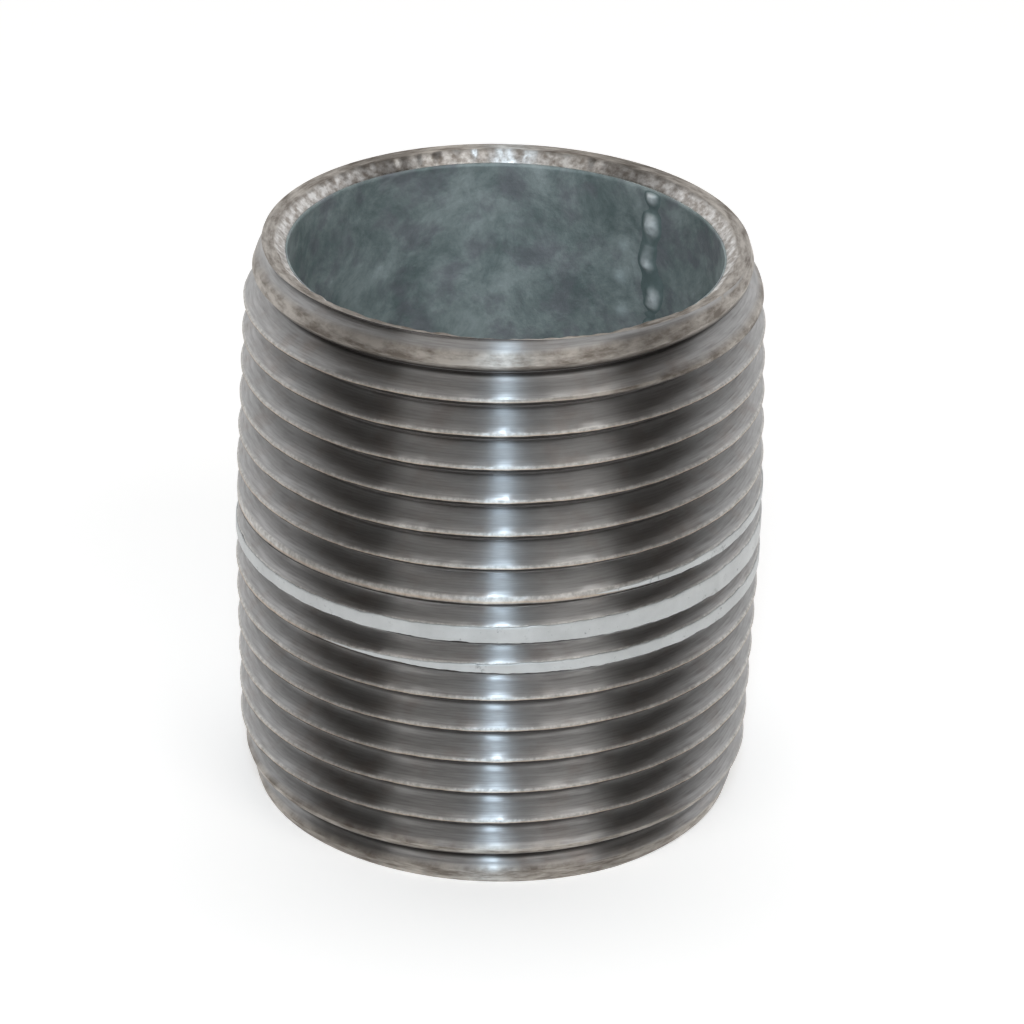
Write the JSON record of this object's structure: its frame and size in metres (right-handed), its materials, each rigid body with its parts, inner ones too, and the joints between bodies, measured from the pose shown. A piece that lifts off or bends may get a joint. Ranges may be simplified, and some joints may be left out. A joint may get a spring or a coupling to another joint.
{
  "type": "threaded pipe nipple",
  "caption": "Close pipe nipple in galvanised steel: a short open pipe with a male taper thread running in from each end until the threads meet at mid length.",
  "frame": {"origin": "centre of the lower end face, on the pipe's axis", "axes": "+Z along the pipe's axis, from the lower end face to the upper one"},
  "size_m": [0.0334, 0.0334, 0.0372],
  "materials": {
    "cut_steel": "bare steel as the thread die left it, with fine tool marks along the flanks",
    "bore_zinc": "matte mottled hot-dip zinc",
    "weld_bead": "uneven, partly shiny weld metal under thin zinc",
    "crest_zinc": "smooth satin hot-dip zinc with a pale bloom"
  },
  "bodies": {
    "root": {"steel_wall": "cut_steel", "bore_zinc": "bore_zinc", "weld_bead": "weld_bead", "crest_zinc": "crest_zinc"}
  },
  "joints": []
}
